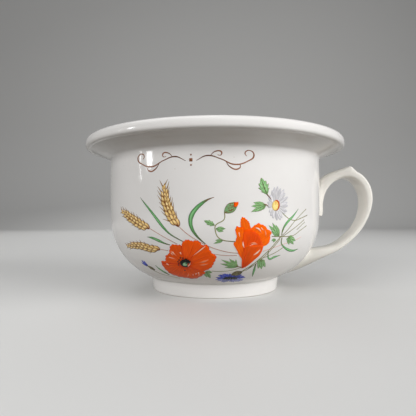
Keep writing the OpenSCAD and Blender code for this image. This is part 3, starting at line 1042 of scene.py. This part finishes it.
leaf_enamel = enamel("leaf_enamel", (110, 140, 88), (140, 194, 130), (128, 104, 72), (186, 226, 172),
                     heart_reach=0.3, edge_width=0.1, streaks=4.0, light_share=0.6)
veined(leaf_enamel, vein_color=(96, 108, 70), veins=4)
areas("printed_leaves", [
    (leaf((38.8, 18.3), (33.6, 30.9), 10.2, teeth=4, depth=0.42, bend=0.4, point=0.9), 0.9),
    *lobed((37.6, 10.8), [(27.2, 12.6), (32, 7.1), (28.6, 5.7), (25.5, 9.8), (25.4, 5.5)], 3.3, 0.8),
    (leaf((-1.6, -4), (-9.3, -0.6), 4.6), 0.6),
    *lobed((50, -13), [(46.4, -4), (42.4, -9), (40, -4.4), (43.2, -2.6)], 3.4, 0.8),
    *lobed((-0.9, -6.4), [(6.3, -6.5), (4.7, -8.6)], 3.0, 0.6),
    *lobed((4.4, -15.2), [(-1.4, -15.2), (0, -17.4), (-2.6, -17.9)], 1.9, 0.5),
    *lobed((46.4, -15), [(45.6, -17), (44.4, -17.8), (42.9, -16.4)], 2.0, 0.6),
    *lobed((59.6, -14), [(65, -15), (59.4, -17.6), (61, -20.6), (68.8, -17.6), (66.7, -20.6)], 3.8, 0.8),
    *lobed((34.9, -32.6), [(32.2, -37.4), (38.5, -36.6), (39.9, -41.3), (33.2, -42.6), (36.5, -43.4)],
           3.8, 0.7),
    *lobed((14.6, -38.2), [(14.4, -31.4), (12.2, -32.2)], 1.9, 0.6),
    *lobed((16.6, -39), [(9.2, -30.8), (5.8, -39.6), (3.1, -31.6), (2.4, -35.6)], 2.8, 0.6),
    *lobed((-8.4, -44.2), [(-3.4, -45.8), (-7.6, -52.6), (-4.8, -54)], 3.7, 0.4)], leaf_enamel)

# The open poppy: four broad petals in orange-red, drawn with folds, and at its heart a ring of
# black stamens, a few of them strayed on to the petals, round a pale green seed head.
poppy_heart = (-24.4, -35.8)
poppy_enamel = enamel("poppy_enamel", (206, 44, 0), (250, 90, 0), (186, 30, 0), (255, 124, 14),
                      heart_reach=0.35, edge_width=0.035, streaks=26.0, light_share=0.4)
areas("open_poppy", [
    (petal([(-25.5, -34), (-24, -34), (-22.5, -34.5)],
           [(-26.8, -22), (-26.4, -17.8), (-25, -16.1), (-21.3, -14.9), (-18.4, -15.6), (-15.5, -15.6),
            (-12.7, -16.7), (-10.9, -18.6), (-9.3, -20)], lift=0.10), 0.8),
    (petal([(-24.5, -33), (-25.5, -34), (-26, -35.5), (-26, -37)],
           [(-26.6, -20), (-28.1, -19.2), (-30.4, -18.9), (-33.5, -18.6), (-35.6, -20.2), (-36.6, -23.5),
            (-38, -26.9), (-40.3, -28.8), (-40.5, -31.5), (-41.7, -34.3), (-44.8, -34.2), (-45.2, -36.8)],
           lift=0.13), 0.5),
    (petal([(-23, -34), (-22.5, -36), (-23, -37.5), (-24, -38)],
           [(-9.9, -19.2), (-7, -19), (-5.3, -22.1), (-3.9, -25.3), (-2.4, -27), (-0.8, -28),
            (-0.6, -31.4), (-2.4, -35.1), (-4.2, -39.1), (-6.4, -41.9), (-9.2, -43.6), (-11.5, -44.2)],
           lift=0.13), 0.8),
    (petal([(-27, -36), (-26, -37.5), (-24.5, -38), (-22.8, -37.5)],
           [(-44.9, -36.2), (-43.3, -42.2), (-39.4, -48.1), (-34.3, -51.2), (-29.4, -53.8), (-22.8, -54.9),
            (-18, -55.2), (-14, -52.6), (-10.1, -48.8), (-8.8, -45.6), (-10.5, -43.8)],
           lift=0.16), 0.55)], poppy_enamel)
fold_enamel = enamel("fold_enamel", (204, 44, 0), (222, 60, 0), (238, 80, 4), (236, 78, 4), edge_width=0.45)
strokes("open_poppy_folds", [
    ([(-26.4, -19.6), (-26.2, -24), (-25.4, -29), (-25, -32)], [0.3, 0.8, 1.0, 0.5]),
    ([(-10.8, -20.6), (-15.4, -25), (-20, -30.4), (-21.6, -32.4)], [0.2, 0.7, 1.2, 0.6]),
    ([(-21, -39.4), (-16, -41.6), (-11, -43.6)], [0.9, 0.9, 0.3]),
    ([(-28.6, -36.8), (-34, -36.2), (-40, -35.6)], [0.8, 0.7, 0.2]),
    ([(-17.6, -19), (-19.4, -24), (-21.4, -30)], [0.2, 0.6, 0.3]),
    ([(-6.8, -28), (-13, -31), (-19, -34)], [0.2, 0.6, 0.3])], fold_enamel, lift=0.175)


def ring_tree():
    """Blades set round a heart, each drawn out to an oval rim."""
    tree, given = shape_tree("Ring of blades", [
        ("Count", "Int", 12), ("Heart", "Vector", (0, 0, 0)), ("Inner", "Float", 0.0),
        ("Rim", "Vector", (0, 0, 0)), ("Across", "Float", 5 * MM), ("Up", "Float", 5 * MM),
        ("Width", "Float", 2 * MM), ("Uneven", "Float", 0.2), ("Start", "Float", 0.0),
        ("Sweep", "Float", 2 * math.pi), ("Belly", "Float", 1.3), ("Fullness", "Float", 0.6),
        ("Lift", "Float", 0.08 * MM)])
    calc = maths(tree)
    points = put(tree, "GeometryNodePoints", {"Count": given["Count"]}).outputs[0]
    index = put(tree, "GeometryNodeInputIndex").outputs[0]
    step = calc("DIVIDE", calc("ADD", index, chance(tree, -0.25, 0.25, seed=2)), given["Count"])
    turn = calc("MULTIPLY_ADD", step, given["Sweep"], given["Start"])
    cosine, sine = calc("COSINE", turn), calc("SINE", turn)
    reach = calc("SUBTRACT", 1.0, calc("MULTIPLY", given["Uneven"], chance(tree, 0.0, 1.0, seed=4)))
    heart_x, heart_y, _ = split_xyz(tree, given["Heart"])
    rim_x, rim_y, _ = split_xyz(tree, given["Rim"])
    base_x = calc("MULTIPLY_ADD", cosine, given["Inner"], heart_x)
    base_y = calc("MULTIPLY_ADD", sine, given["Inner"], heart_y)
    end_x = calc("MULTIPLY_ADD", calc("MULTIPLY", cosine, reach), given["Across"], rim_x)
    end_y = calc("MULTIPLY_ADD", calc("MULTIPLY", sine, reach), given["Up"], rim_y)
    run_x, run_y = calc("SUBTRACT", end_x, base_x), calc("SUBTRACT", end_y, base_y)
    length = calc("SQRT", calc("ADD", calc("MULTIPLY", run_x, run_x), calc("MULTIPLY", run_y, run_y)))
    lift = calc("MULTIPLY_ADD", calc("MODULO", index, 3.0), 0.02 * MM, given["Lift"])
    toned = keep(tree, points, "tone", chance(tree, 0.2, 1.0, seed=6))
    placed = set_place(tree, toned, Position=join_xyz(tree, base_x, base_y, lift))
    angle = calc("ARCTAN2", run_y, run_x)
    blades = blades_on(tree, placed, angle, length, given["Width"], given["Belly"], given["Fullness"])
    close_print(tree, blades, given["Finish"])
    return tree


ring_of_blades = ring_tree()


def ring(name, finish, **values):
    """A ring of blades, with its places and lengths given in millimetres."""
    places, lengths = {"heart", "rim"}, {"inner", "across", "up", "width", "lift"}
    given = {"Finish": finish}
    for key, value in values.items():
        if key in places:
            value = (value[0] * MM, value[1] * MM, 0.0)
        elif key in lengths:
            value = value * MM
        given[key.capitalize()] = value
    carrier = bpy.data.objects.new(name, bpy.data.meshes.new(name))
    return printed(name, carrier, ring_of_blades, given)


stamen_enamel = enamel("stamen_enamel", (16, 18, 16), (22, 26, 22), (14, 16, 14), (60, 70, 50))
ring("poppy_filaments", stamen_enamel, count=26, heart=poppy_heart, inner=1.4, rim=(-24.0, -35.2),
     across=5.0, up=5.2, width=0.7, uneven=0.3, start=0.3, sweep=4.9, belly=0.9, fullness=0.5, lift=0.21)
ring("poppy_anthers", stamen_enamel, count=24, heart=poppy_heart, inner=2.2, rim=(-24.0, -35.4),
     across=4.6, up=4.6, width=1.7, uneven=0.25, start=0.3, sweep=4.9, belly=1.0, fullness=0.4, lift=0.24)
areas("poppy_stray_dots", [(oval(spot, 0.7, 0.55, turn=30, lift=0.24), 0.5) for spot in [
    (-30.3, -34.1), (-29.6, -35.6), (-28, -30.2), (-26, -30.4), (-29.2, -32.4), (-29.8, -37.4),
    (-25, -43.2)]], stamen_enamel)
seed_enamel = enamel("seed_enamel", (190, 214, 176), (140, 196, 150), (60, 100, 70), (214, 232, 200),
                     heart_reach=0.9, edge_width=0.2, streaks=12.0, light_share=0.6)
areas("poppy_seed_head", [(oval((-24.5, -36.4), 2.1, 1.9, turn=40, lift=0.29), 0.9)], seed_enamel)

# The poppy seen from the side: five petals that cup one another, a lighter orange above and a
# deeper red at the stalk. Pale strokes light both poppies, laid over all the rest.
cup_enamel = enamel("cup_enamel", (236, 62, 0), (255, 104, 0), (230, 58, 0), (255, 136, 22),
                    heart_reach=0.5, edge_width=0.035, streaks=16.0, light_share=0.4)
areas("side_poppy", [
    (petal([(18, -14), (22, -14), (26, -14)],
           [(18, -5), (17.2, -1.4), (18.6, 1.5), (21.8, 0.6), (23.8, -2), (25, -5.3), (27, -8)],
           lift=0.08), 0.6),
    (petal([(24, -14), (27, -18), (30, -21), (32, -22)],
           [(24.4, -8), (26.6, -5.4), (28.5, -3.9), (31.5, -2.7), (34.2, -4.2), (36.8, -4.9), (38, -6.3),
            (40.5, -7.8), (42.6, -9.6), (41.2, -13), (41.4, -16.3), (39.6, -19.4), (36, -20.6)],
           lift=0.10), 0.95),
    (petal([(20.5, -34), (21, -32), (21.5, -30)],
           [(18.6, -30.4), (16.5, -27.3), (15, -23.9), (13.7, -21.1), (12.2, -18.4), (13.4, -16.1),
            (14.5, -11.7), (13.5, -8.1), (14.4, -4.8), (17, -5.2), (20, -5.5)],
           lift=0.10), 0.8)], cup_enamel)
inside_enamel = enamel("inside_enamel", (214, 52, 0), (240, 78, 2), (238, 76, 2), (252, 104, 12),
                       heart_reach=0.4, edge_width=0.02, streaks=14.0, light_share=0.35)
areas("side_poppy_inside", [
    (petal([(21, -31), (22, -30.5), (23, -30)],
           [(18.8, -15.4), (20, -8.5), (24, -7.2), (28, -8.2), (31.4, -11.2), (34.5, -16.4), (35.7, -20.8)],
           lift=0.13), 0.85)], inside_enamel)
front_enamel = enamel("front_enamel", (206, 58, 0), (240, 86, 2), (242, 84, 4), (252, 112, 14),
                      heart_reach=0.55, edge_width=0.02, streaks=14.0, light_share=0.35)
areas("side_poppy_front", [
    (petal([(19.3, -41.3), (19.5, -41), (19.9, -40.9)],
           [(19.9, -34), (19, -30.5), (19.2, -26.5), (20.3, -22), (22.6, -20), (26, -19.4), (29.5, -20),
            (33, -19.6), (35.8, -20.6), (35.6, -23), (34.7, -25.4), (32.9, -28.8), (29.9, -31.8),
            (26.2, -35.9), (22.5, -39.6)],
           lift=0.16, rows=18, columns=64, ruffle=0.4), 0.75)], front_enamel)
strokes("side_poppy_folds", [
    ([(18.8, -14.6), (19.6, -18.4), (20.6, -22.4), (21, -29)], [0.2, 0.7, 0.8, 0.2]),
    ([(20, -35.6), (21, -31), (22.4, -26.6), (24, -22.6)], [0.4, 1.0, 0.8, 0.2]),
    ([(28.6, -11.4), (28.2, -15), (26.8, -18.6)], [0.1, 0.6, 0.2])], fold_enamel, lift=0.19)
glint_enamel = enamel("glint_enamel", (250, 214, 190), (255, 228, 208), (250, 190, 150), (255, 240, 228),
                      edge_width=0.3)
strokes("poppy_glints", [
    ([(-8.6, -19.9), (-11, -21.9), (-13.5, -24.1), (-18, -28)], [0.3, 0.9, 0.6, 0.1]),
    ([(-20.2, -34.4), (-20.9, -36.8), (-22.4, -38.6), (-24.6, -39.7)], [0.2, 0.7, 0.7, 0.2]),
    ([(-22.6, -33.6), (-22, -35)], [0.9, 0.5]), ([(-34.4, -25), (-32.6, -27)], [0.9, 0.2]),
    ([(-35.6, -26), (-34, -28)], [0.7, 0.2]), ([(-28, -25.2), (-27.2, -27)], [1.1, 0.4]),
    ([(-37.5, -30), (-34, -31)], [0.6, 0.2]), ([(-40.4, -36.8), (-38.4, -38)], [1.2, 0.4]),
    ([(-14, -45.4), (-14.4, -48)], [0.8, 0.3]), ([(-16, -46.6), (-16.4, -49.2)], [0.8, 0.2]),
    ([(-18.4, -48.2), (-18.6, -50.4)], [0.6, 0.2]),
    ([(19.4, -16.4), (19.5, -19), (20.4, -21.4)], [0.3, 1.1, 0.3]),
    ([(33.4, -23.6), (31, -26), (28, -28)], [0.4, 1.4, 0.3]),
    ([(29, -6.2), (31, -6.6), (33.4, -8.4)], [0.3, 1.2, 0.3]), ([(33.6, -6), (35.4, -8)], [0.8, 0.3]),
    ([(24.6, -20), (27.5, -18.6), (30.6, -18.8)], [0.2, 0.5, 0.1]),
    ([(16.2, -9.4), (16.8, -12.6)], [0.7, 0.2])], glint_enamel, lift=0.22)
blush_enamel = enamel("blush_enamel", (248, 140, 92), (250, 156, 112), (244, 108, 44), (252, 176, 136),
                      edge_width=0.45, streaks=6.0, light_share=0.7)
strokes("poppy_blushes", [
    ([(-6.4, -31.6), (-9.4, -33.2), (-13.4, -34.4)], [0.8, 2.2, 0.3]),
    ([(-6.6, -35.6), (-10, -36.6), (-13.6, -37)], [0.6, 1.8, 0.3]),
    ([(-35.6, -24.4), (-33.4, -26.6), (-31, -28.6)], [0.8, 1.9, 0.3]),
    ([(-38, -30.2), (-34.6, -30.8), (-31.4, -32)], [0.6, 1.4, 0.3]),
    ([(-22, -47), (-22.6, -50), (-23.4, -52.6)], [0.3, 1.4, 0.5]),
    ([(-13, -46), (-13.6, -48.6), (-15, -50.6)], [0.3, 1.3, 0.4]),
    ([(25, -18), (28, -17.6), (31, -18.6)], [0.3, 1.6, 0.3]),
    ([(29, -5.6), (31.6, -7.4), (34, -10)], [0.6, 1.9, 0.4]),
    ([(36.4, -7.4), (37.4, -10), (37.6, -13)], [0.4, 1.5, 0.3]),
    ([(33.6, -22.6), (31.4, -25.6), (28, -29)], [0.4, 1.8, 0.4])], blush_enamel, lift=0.205)

# The closed bud of a poppy on its thin stalk: two hairy green sepals, printed as one speckled
# wash, with the first red petal showing at the tip.
bud_enamel = enamel("bud_enamel", (126, 150, 104), (124, 168, 116), (120, 92, 60), (160, 200, 150),
                    heart_reach=0.2, edge_width=0.06, streaks=9.0, light_share=0.5)


def speckled(material, speck_color, scale, size):
    """Dots a wash with small specks of another colour."""
    tree = material.node_tree
    where = put(tree, "ShaderNodeTexCoord").outputs["Object"]
    cells = put(tree, "ShaderNodeTexVoronoi", {"Vector": where, "Scale": scale}).outputs["Distance"]
    cover(material, maths(tree)("LESS_THAN", cells, size), ink(*speck_color))


speckled(bud_enamel, (118, 72, 46), scale=1000.0, size=0.42)
areas("poppy_bud", [(leaf((5.2, 5), (15.4, 12.6), 7.2, teeth=0, depth=0.0, lift=0.09), 0.7)], bud_enamel)
areas("poppy_bud_tip", [
    (petal([(12.7, 9.2), (12.3, 11), (12.4, 12.5)], [(15, 9.8), (15.7, 11.4), (15.9, 13.1)],
           lift=0.12, rows=6, columns=10, ruffle=0.1), 0.9)], poppy_enamel)

# The daisy: a ring of narrow petals in a pale grey wash, hardly darker than the bare glaze,
# round a yellow disc that is shaded red on one side.
daisy_enamel = enamel("daisy_enamel", (232, 230, 229), (221, 219, 222), (194, 193, 200), (236, 234, 234),
                      heart_reach=0.5, edge_width=0.22, streaks=5.0, light_share=0.9)
ring("daisy_petals", daisy_enamel, count=21, heart=(46.4, 10.6), inner=3.0, rim=(48.6, 12.2),
     across=10.4, up=13.2, width=2.5, uneven=0.16, start=0.1, sweep=2 * math.pi, belly=1.5, fullness=0.5,
     lift=0.07)
disc_shade = enamel("disc_shade", (190, 84, 40), (206, 92, 44), (180, 70, 36), (230, 140, 80))
areas("daisy_disc_shade", [(oval((46.8, 10.6), 4.1, 3.2, turn=80, lift=0.15), 0.7)], disc_shade)
disc_enamel = enamel("disc_enamel", (247, 230, 156), (242, 216, 124), (232, 184, 92), (250, 238, 182),
                     heart_reach=0.9, edge_width=0.12, streaks=20.0, light_share=0.8)
areas("daisy_disc", [(oval((45.8, 10.3), 3.75, 2.8, turn=80, lift=0.19), 1.0)], disc_enamel)

# The cornflower low on the belly: ragged florets, deep blue behind and lilac in front, on a dark
# scaly calyx, and one bud of the same at the left.
blue_enamel = enamel("blue_enamel", (40, 44, 124), (70, 88, 196), (46, 52, 150), (130, 146, 226),
                     heart_reach=0.5, edge_width=0.2, streaks=4.0, light_share=0.4)
lilac_enamel = enamel("lilac_enamel", (96, 104, 190), (150, 156, 214), (120, 128, 200), (196, 200, 232),
                      heart_reach=0.6, edge_width=0.2, streaks=4.0, light_share=0.5)
ring("cornflower_back", blue_enamel, count=21, heart=(11, -54.5), inner=1.0, rim=(10.9, -54.3),
     across=13.4, up=8.2, width=2.0, uneven=0.5, start=-0.15, sweep=math.pi + 0.3, belly=1.7, fullness=0.6,
     lift=0.09)
ring("cornflower_front", lilac_enamel, count=18, heart=(11, -55), inner=1.0, rim=(10.9, -54.6),
     across=13.0, up=9.8, width=1.9, uneven=0.5, start=math.pi + 0.05, sweep=math.pi - 0.1, belly=1.7,
     fullness=0.6, lift=0.12)
ring("cornflower_heart", stamen_enamel, count=18, heart=(11, -54.5), inner=0.4, rim=(11, -54.0),
     across=8.6, up=3.2, width=1.0, uneven=0.5, start=0.0, sweep=2 * math.pi, belly=1.0, fullness=0.5,
     lift=0.16)
strokes("cornflower_bud", [
    ([(-61.5, -41.6), (-65, -38.6), (-67.4, -35.4)], [1.6, 2.2, 0.6]),
    ([(-61.2, -41), (-63.6, -38), (-64.6, -35.8)], [1.2, 1.8, 0.5]),
    ([(-62, -42.2), (-66, -40), (-68.4, -38.2)], [1.2, 1.7, 0.5])], blue_enamel, lift=0.08)
calyx_enamel = enamel("calyx_enamel", (88, 86, 58), (118, 114, 80), (88, 70, 50), (166, 158, 116),
                      heart_reach=0.4, edge_width=0.12, streaks=9.0, light_share=0.5)
speckled(calyx_enamel, (70, 54, 40), scale=560.0, size=0.3)
areas("cornflower_calyx", [
    (leaf((20.2, -45), (11.4, -49.4), 6.2, teeth=0, depth=0.0, lift=0.2), 0.7),
    (leaf((-53.6, -46.4), (-61.8, -41.2), 3.4, teeth=0, depth=0.0, lift=0.1), 0.6)], calyx_enamel)

# The scroll under the rim: a plain penman's flourish in brown, whose line swells in the curves,
# the same on both sides of three small lozenges.
scroll_middle = (-19.0, 43.4)
scroll_enamel = enamel("scroll_enamel", (92, 62, 46), (146, 96, 68), (150, 108, 84), (200, 150, 120),
                       heart_reach=0.7, edge_width=0.15, streaks=3.0, light_share=0.5)
scroll_half = [
    ([(4, 0), (12, 3.5), (22, 1), (32, -3), (42, -0.5), (47, 4), (44, 7.5), (40, 5.5), (41.5, 3)],
     [0.3, 1.0, 0.7, 1.1, 0.8, 1.2, 0.6, 0.9, 0.3]),
    ([(14, 3.2), (18, 6.5), (22.5, 6), (22, 3.8), (19.5, 4)], [0.3, 0.8, 1.1, 0.6, 0.3]),
    ([(25, 0), (29, -5), (34, -6.5), (36.5, -4), (34, -2.5)], [0.3, 0.9, 1.1, 0.6, 0.3])]
scroll_lines = [([(scroll_middle[0] + side * x, scroll_middle[1] + y) for x, y in points], widths)
                for side in (-1, 1) for points, widths in scroll_half]
strokes("scroll_flourish", scroll_lines, scroll_enamel, lift=0.06)
# Each lozenge: how far it stands above the middle, and its half size
areas("scroll_lozenge", [
    (oval((scroll_middle[0], scroll_middle[1] + up), half, half, turn=45, lift=0.08, rows=4, columns=5), 0.6)
    for up, half in [(0.6, 1.7), (4.4, 0.8), (-3.2, 0.8)]], scroll_enamel)

# The studio: a pale seamless floor that sweeps up behind the pot, broad soft lights from the right
# and the left, two narrow panes of a window that the glaze mirrors, a little light from above and
# from behind, and the camera at the height of the pot's middle.
# The floor's own colour, and the light that it throws back, more up to one distance from the
# pot's axis and less past another, both in metres.
floor_color = (0.70, 0.70, 0.69, 1)
floor_bounce = (0.106, 0.094, 0.081, 1)
foot_bounce = (0.35, 0.33, 0.3, 1)
near_foot = 0.11
past_foot = 0.18
room_color = (0.94, 0.94, 0.94, 1)
room_light = 0.16


def sweep():
    width, front, back, rise, bend = 4.0, -2.0, 1.4, 2.2, 0.6
    steps = 24
    run = [(front, 0.0)]
    for i in range(steps + 1):
        a = -math.pi / 2 + math.pi / 2 * i / steps
        run.append((back + bend * math.cos(a), bend + bend * math.sin(a)))
    run.append((back + bend, rise))
    points = [(side * width / 2, y, z) for y, z in run for side in (-1, 1)]
    faces = [(2 * i, 2 * i + 1, 2 * i + 3, 2 * i + 2) for i in range(len(run) - 1)]
    mesh = bpy.data.meshes.new("floor")
    mesh.from_pydata(points, [], faces)
    mesh.shade_smooth()
    return mesh


def floor_material():
    """Pale where it is seen. It throws little light back under the rim, and more close to the foot."""
    material, tree, shader = new_material("floor_paint")
    path = put(tree, "ShaderNodeLightPath").outputs
    seen = maths(tree)("MAXIMUM", path["Is Camera Ray"], path["Is Glossy Ray"])
    where = put(tree, "ShaderNodeTexCoord").outputs["Object"]
    far = put(tree, "ShaderNodeVectorMath", {0: where}, operation="LENGTH").outputs["Value"]
    away = put(tree, "ShaderNodeMapRange", {"Value": far, "From Min": near_foot, "From Max": past_foot},
               interpolation_type="SMOOTHSTEP").outputs[0]
    thrown = blend(tree, away, foot_bounce, floor_bounce)
    feed(tree, shader, {"Base Color": blend(tree, seen, thrown, floor_color), "Roughness": 0.6})
    return material


floor = bpy.data.objects.new("floor", sweep())
floor.data.materials.append(floor_material())
show(floor)

pot_middle = Vector((0.0, 0.0, 0.07))


def soft_light(name, place, size, watts, mirrored=True):
    """A soft light turned to the pot's middle, which the glaze mirrors or not."""
    data = bpy.data.lights.new(name, "AREA")
    data.shape = "RECTANGLE"
    data.size, data.size_y = size
    data.energy = watts
    lamp = bpy.data.objects.new(name, data)
    lamp.location = place
    lamp.rotation_euler = (pot_middle - Vector(place)).to_track_quat("-Z", "Y").to_euler()
    lamp.visible_glossy = mirrored
    lamp.visible_camera = False
    show(lamp)


soft_light("right_softbox", (1.3, -0.65, 0.5), size=(1.2, 0.9), watts=24.0, mirrored=False)
soft_light("left_fill", (-0.9, -1.3, 0.75), size=(1.2, 0.8), watts=16.0, mirrored=False)
soft_light("window_pane", (-0.92, -0.37, 0.298), size=(0.1, 0.105), watts=0.48)
soft_light("window_pane_behind", (-0.95, -0.19, 0.266), size=(0.018, 0.175), watts=0.12)
soft_light("overhead", (-0.5, 0.05, 1.45), size=(1.2, 1.2), watts=4.5)
soft_light("back_fill", (-0.3, 1.35, 0.9), size=(1.0, 0.8), watts=6.5, mirrored=False)

world = bpy.data.worlds.new("studio")
world.use_nodes = True
feed(world.node_tree, world.node_tree.nodes["Background"], {"Color": room_color, "Strength": room_light})
bpy.context.scene.world = world
bpy.context.scene.view_settings.view_transform = "Standard"

image_width = 416
focal_pixels = 396.9
sensor = 36.0
camera_place = (-6.5 * MM, -386.6 * MM, 70.1 * MM)
look_up = 0.0142
tilt = -0.004
lens = bpy.data.cameras.new("camera")
lens.sensor_width = sensor
lens.lens = sensor * focal_pixels / image_width
lens.clip_start = 0.01
camera = bpy.data.objects.new("camera", lens)
camera.location = camera_place
aim = Matrix.Rotation(math.pi / 2 + look_up, 3, "X") @ Matrix.Rotation(tilt, 3, "Z")
camera.rotation_euler = aim.to_euler()
show(camera)
bpy.context.scene.camera = camera
